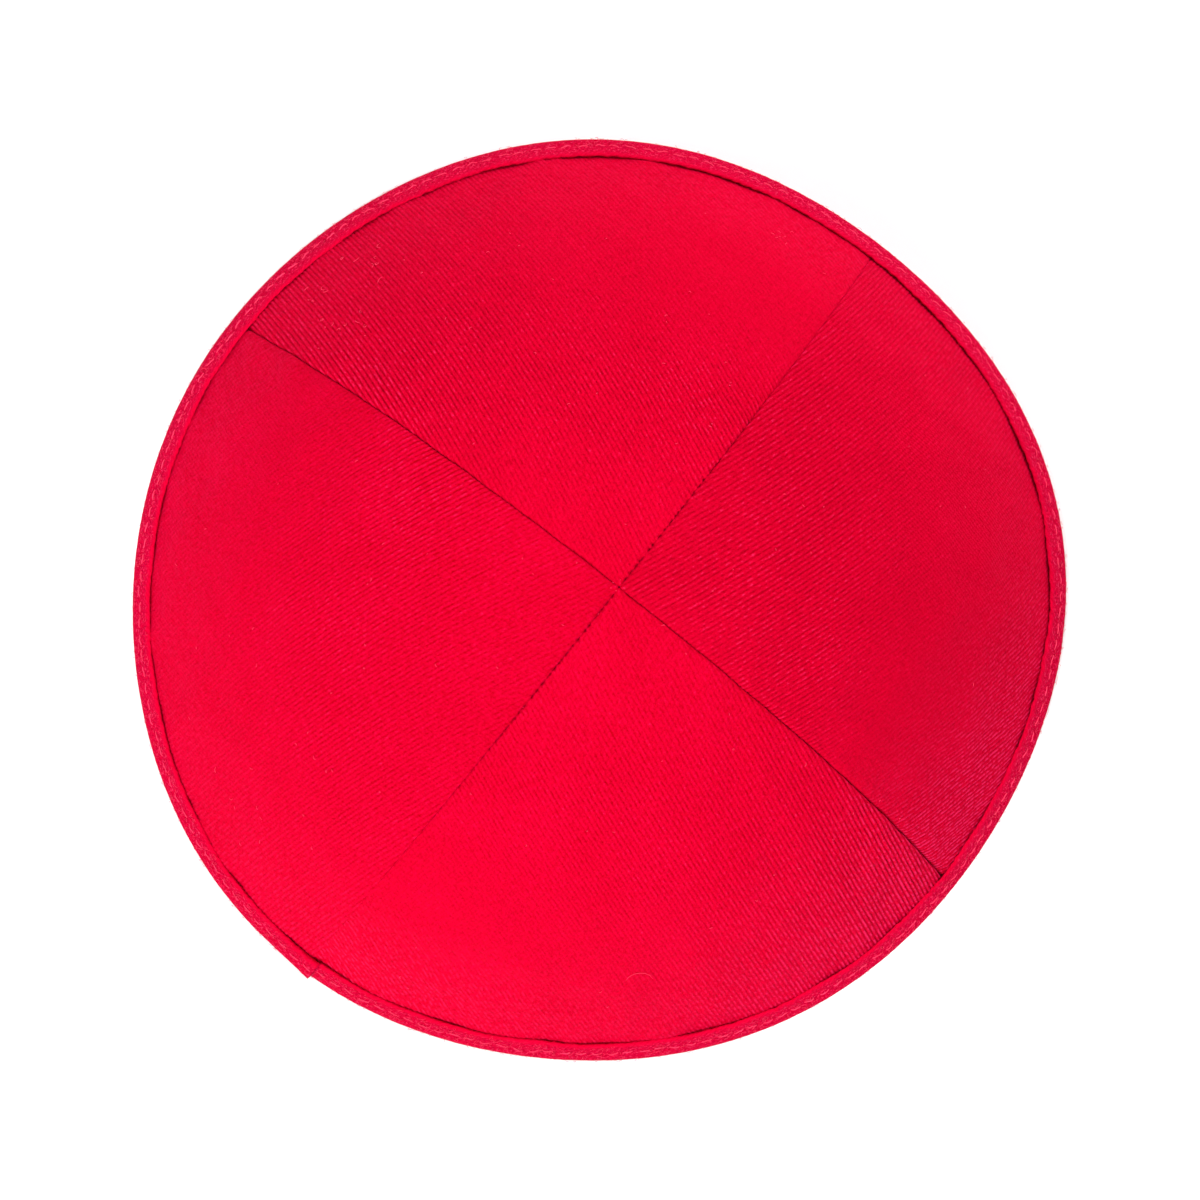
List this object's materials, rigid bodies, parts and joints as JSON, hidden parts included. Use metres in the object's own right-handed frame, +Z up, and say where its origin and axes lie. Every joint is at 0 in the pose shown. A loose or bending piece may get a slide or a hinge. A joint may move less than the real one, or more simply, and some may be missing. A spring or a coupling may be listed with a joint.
{
  "type": "kippah",
  "caption": "Round domed skullcap of red cotton twill, sewn from curved gores that meet at the crown, with a bias binding folded round its open rim.",
  "frame": {"origin": "under the middle of the whole outline, on the surface that the rim rests on", "axes": "+Z up through the crown, -Y towards the front panel's middle line, +X towards the right panel's middle line"},
  "size_m": [0.1716, 0.1686, 0.0598],
  "materials": {
    "crown_twill": "matt cotton twill with a fine diagonal rib",
    "binding_tape": "matt cotton bias tape, folded and topstitched",
    "sewing_thread": "soft twisted sewing thread"
  },
  "bodies": {
    "root": {"crown_panel_right": "crown_twill", "crown_panel_back": "crown_twill", "crown_panel_left": "crown_twill", "crown_panel_front": "crown_twill", "rim_binding": "binding_tape"}
  },
  "joints": []
}
